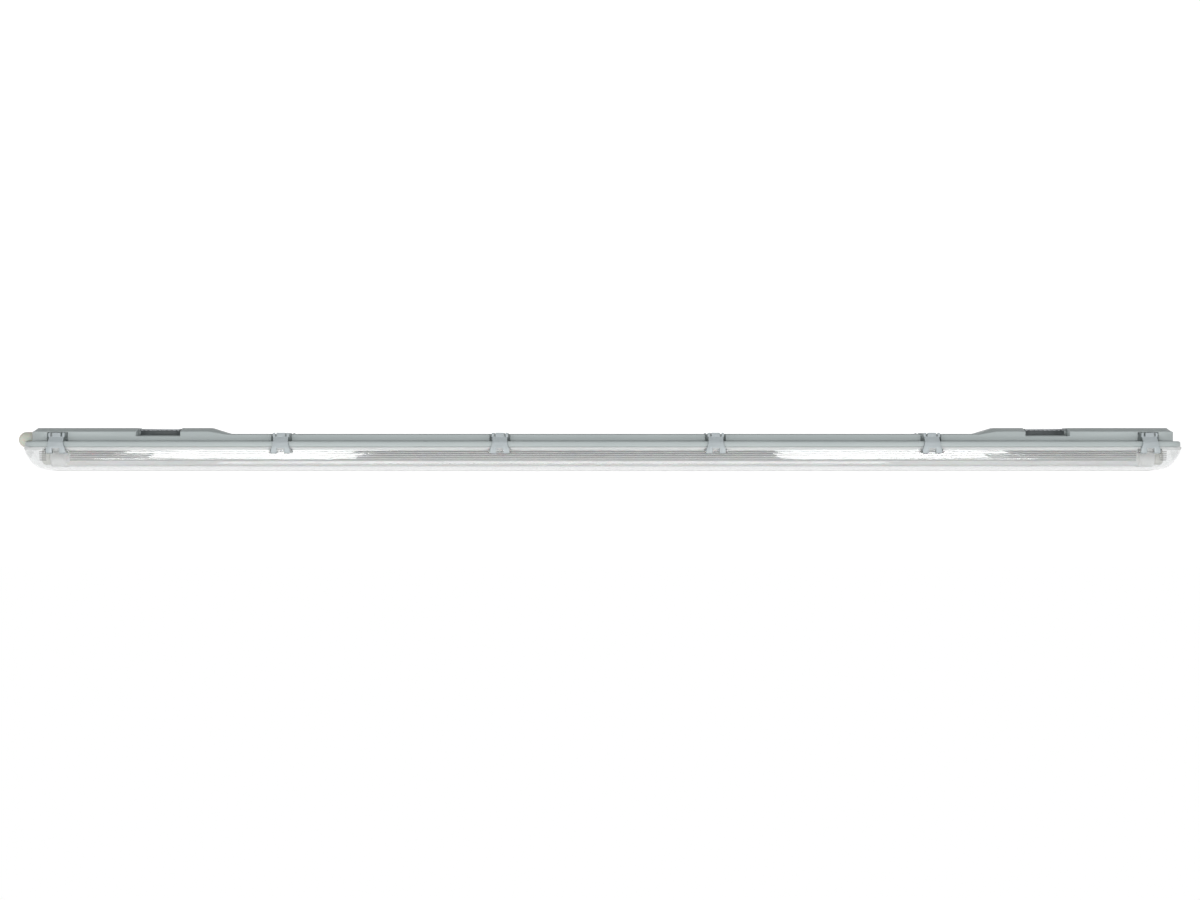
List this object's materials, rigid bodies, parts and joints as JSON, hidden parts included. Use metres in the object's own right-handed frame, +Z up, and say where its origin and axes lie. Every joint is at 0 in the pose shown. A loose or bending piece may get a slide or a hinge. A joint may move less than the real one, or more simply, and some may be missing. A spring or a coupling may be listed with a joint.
{
  "type": "vapor tight light fixture",
  "caption": "Long sealed batten light with a grey housing, clear ribbed diffuser held by hinged clips, and one tube lamp.",
  "frame": {"origin": "middle of the ceiling plane, which the crowns of the two raised ends touch", "axes": "+X along the fixture away from the cable entry, +Y across it, +Z up into the ceiling"},
  "size_m": [1.5805, 0.072, 0.059],
  "materials": {
    "housing_grey": "moulded, satin",
    "clip_grey": "moulded, satin",
    "diffuser_clear": "clear, ribbed inside",
    "gasket_foam": "foamed",
    "bracket_steel": "rolled sheet",
    "grommet_rubber": "moulded, soft",
    "tray_enamel": "powder coated",
    "screw_steel": "plated",
    "holder_white": "moulded",
    "rotor_white": "moulded",
    "block_white": "moulded",
    "tube_frosted": "frosted",
    "cap_white": "moulded",
    "pin_brass": "turned",
    "live_sleeve": "extruded sleeve",
    "neutral_sleeve": "extruded sleeve",
    "earth_sleeve": "extruded sleeve"
  },
  "bodies": {
    "fixture": {"housing": "housing_grey", "gasket": "gasket_foam", "ceiling_bracket_left": "bracket_steel", "ceiling_bracket_right": "bracket_steel", "cable_grommet": "grommet_rubber", "gear_tray": "tray_enamel", "tray_screw_1": "screw_steel", "tray_screw_2": "screw_steel", "tray_screw_3": "screw_steel", "tray_screw_4": "screw_steel", "lampholder_left": "holder_white", "lampholder_right": "holder_white", "terminal_block": "block_white", "live_wire": "live_sleeve", "neutral_wire": "neutral_sleeve", "earth_wire": "earth_sleeve", "earth_screw": "screw_steel"},
    "cover": {"diffuser": "diffuser_clear"},
    "lamp": {"lamp_tube": "tube_frosted", "lamp_cap_left": "cap_white", "lamp_cap_right": "cap_white", "lamp_pins_left": "pin_brass", "lamp_pins_right": "pin_brass", "rotor_left": "rotor_white", "rotor_right": "rotor_white"},
    "clip_front_1": {"clip_front_1": "clip_grey"},
    "clip_front_2": {"clip_front_2": "clip_grey"},
    "clip_front_3": {"clip_front_3": "clip_grey"},
    "clip_front_4": {"clip_front_4": "clip_grey"},
    "clip_front_5": {"clip_front_5": "clip_grey"},
    "clip_front_6": {"clip_front_6": "clip_grey"},
    "clip_rear_1": {"clip_rear_1": "clip_grey"},
    "clip_rear_2": {"clip_rear_2": "clip_grey"},
    "clip_rear_3": {"clip_rear_3": "clip_grey"},
    "clip_rear_4": {"clip_rear_4": "clip_grey"},
    "clip_rear_5": {"clip_rear_5": "clip_grey"},
    "clip_rear_6": {"clip_rear_6": "clip_grey"}
  },
  "joints": [
    {"name": "cover_drop", "type": "slide", "parent": "fixture", "child": "cover", "axis": [0, 0, -1], "range_m": [0, 0.04]},
    {"name": "lamp_turn", "type": "hinge", "parent": "fixture", "child": "lamp", "pos_m": [0, 0, -0.0405], "axis": [1, 0, 0], "range_deg": [0, 90]},
    {"name": "clip_front_1_turn", "type": "hinge", "parent": "cover", "child": "clip_front_1", "pos_m": [-0.7365, -0.03315, -0.0318], "axis": [1, 0, 0], "range_deg": [0, 175]},
    {"name": "clip_front_2_turn", "type": "hinge", "parent": "cover", "child": "clip_front_2", "pos_m": [-0.43403, -0.03315, -0.0318], "axis": [1, 0, 0], "range_deg": [0, 175]},
    {"name": "clip_front_3_turn", "type": "hinge", "parent": "cover", "child": "clip_front_3", "pos_m": [-0.13902, -0.03315, -0.0318], "axis": [1, 0, 0], "range_deg": [0, 175]},
    {"name": "clip_front_4_turn", "type": "hinge", "parent": "cover", "child": "clip_front_4", "pos_m": [0.15196, -0.03315, -0.0318], "axis": [1, 0, 0], "range_deg": [0, 175]},
    {"name": "clip_front_5_turn", "type": "hinge", "parent": "cover", "child": "clip_front_5", "pos_m": [0.44301, -0.03315, -0.0318], "axis": [1, 0, 0], "range_deg": [0, 175]},
    {"name": "clip_front_6_turn", "type": "hinge", "parent": "cover", "child": "clip_front_6", "pos_m": [0.7365, -0.03315, -0.0318], "axis": [1, 0, 0], "range_deg": [0, 175]},
    {"name": "clip_rear_1_turn", "type": "hinge", "parent": "cover", "child": "clip_rear_1", "pos_m": [-0.7365, 0.03315, -0.0318], "axis": [-1, 0, 0], "range_deg": [0, 175]},
    {"name": "clip_rear_2_turn", "type": "hinge", "parent": "cover", "child": "clip_rear_2", "pos_m": [-0.43403, 0.03315, -0.0318], "axis": [-1, 0, 0], "range_deg": [0, 175]},
    {"name": "clip_rear_3_turn", "type": "hinge", "parent": "cover", "child": "clip_rear_3", "pos_m": [-0.13902, 0.03315, -0.0318], "axis": [-1, 0, 0], "range_deg": [0, 175]},
    {"name": "clip_rear_4_turn", "type": "hinge", "parent": "cover", "child": "clip_rear_4", "pos_m": [0.15196, 0.03315, -0.0318], "axis": [-1, 0, 0], "range_deg": [0, 175]},
    {"name": "clip_rear_5_turn", "type": "hinge", "parent": "cover", "child": "clip_rear_5", "pos_m": [0.44301, 0.03315, -0.0318], "axis": [-1, 0, 0], "range_deg": [0, 175]},
    {"name": "clip_rear_6_turn", "type": "hinge", "parent": "cover", "child": "clip_rear_6", "pos_m": [0.7365, 0.03315, -0.0318], "axis": [-1, 0, 0], "range_deg": [0, 175]}
  ],
  "couplings": [
    {"joint": "clip_front_1_turn", "follows": "cover_drop", "rad_per_m": 76.35},
    {"joint": "clip_front_2_turn", "follows": "cover_drop", "rad_per_m": 76.35},
    {"joint": "clip_front_3_turn", "follows": "cover_drop", "rad_per_m": 76.35},
    {"joint": "clip_front_4_turn", "follows": "cover_drop", "rad_per_m": 76.35},
    {"joint": "clip_front_5_turn", "follows": "cover_drop", "rad_per_m": 76.35},
    {"joint": "clip_front_6_turn", "follows": "cover_drop", "rad_per_m": 76.35},
    {"joint": "clip_rear_1_turn", "follows": "cover_drop", "rad_per_m": 76.35},
    {"joint": "clip_rear_2_turn", "follows": "cover_drop", "rad_per_m": 76.35},
    {"joint": "clip_rear_3_turn", "follows": "cover_drop", "rad_per_m": 76.35},
    {"joint": "clip_rear_4_turn", "follows": "cover_drop", "rad_per_m": 76.35},
    {"joint": "clip_rear_5_turn", "follows": "cover_drop", "rad_per_m": 76.35},
    {"joint": "clip_rear_6_turn", "follows": "cover_drop", "rad_per_m": 76.35}
  ]
}
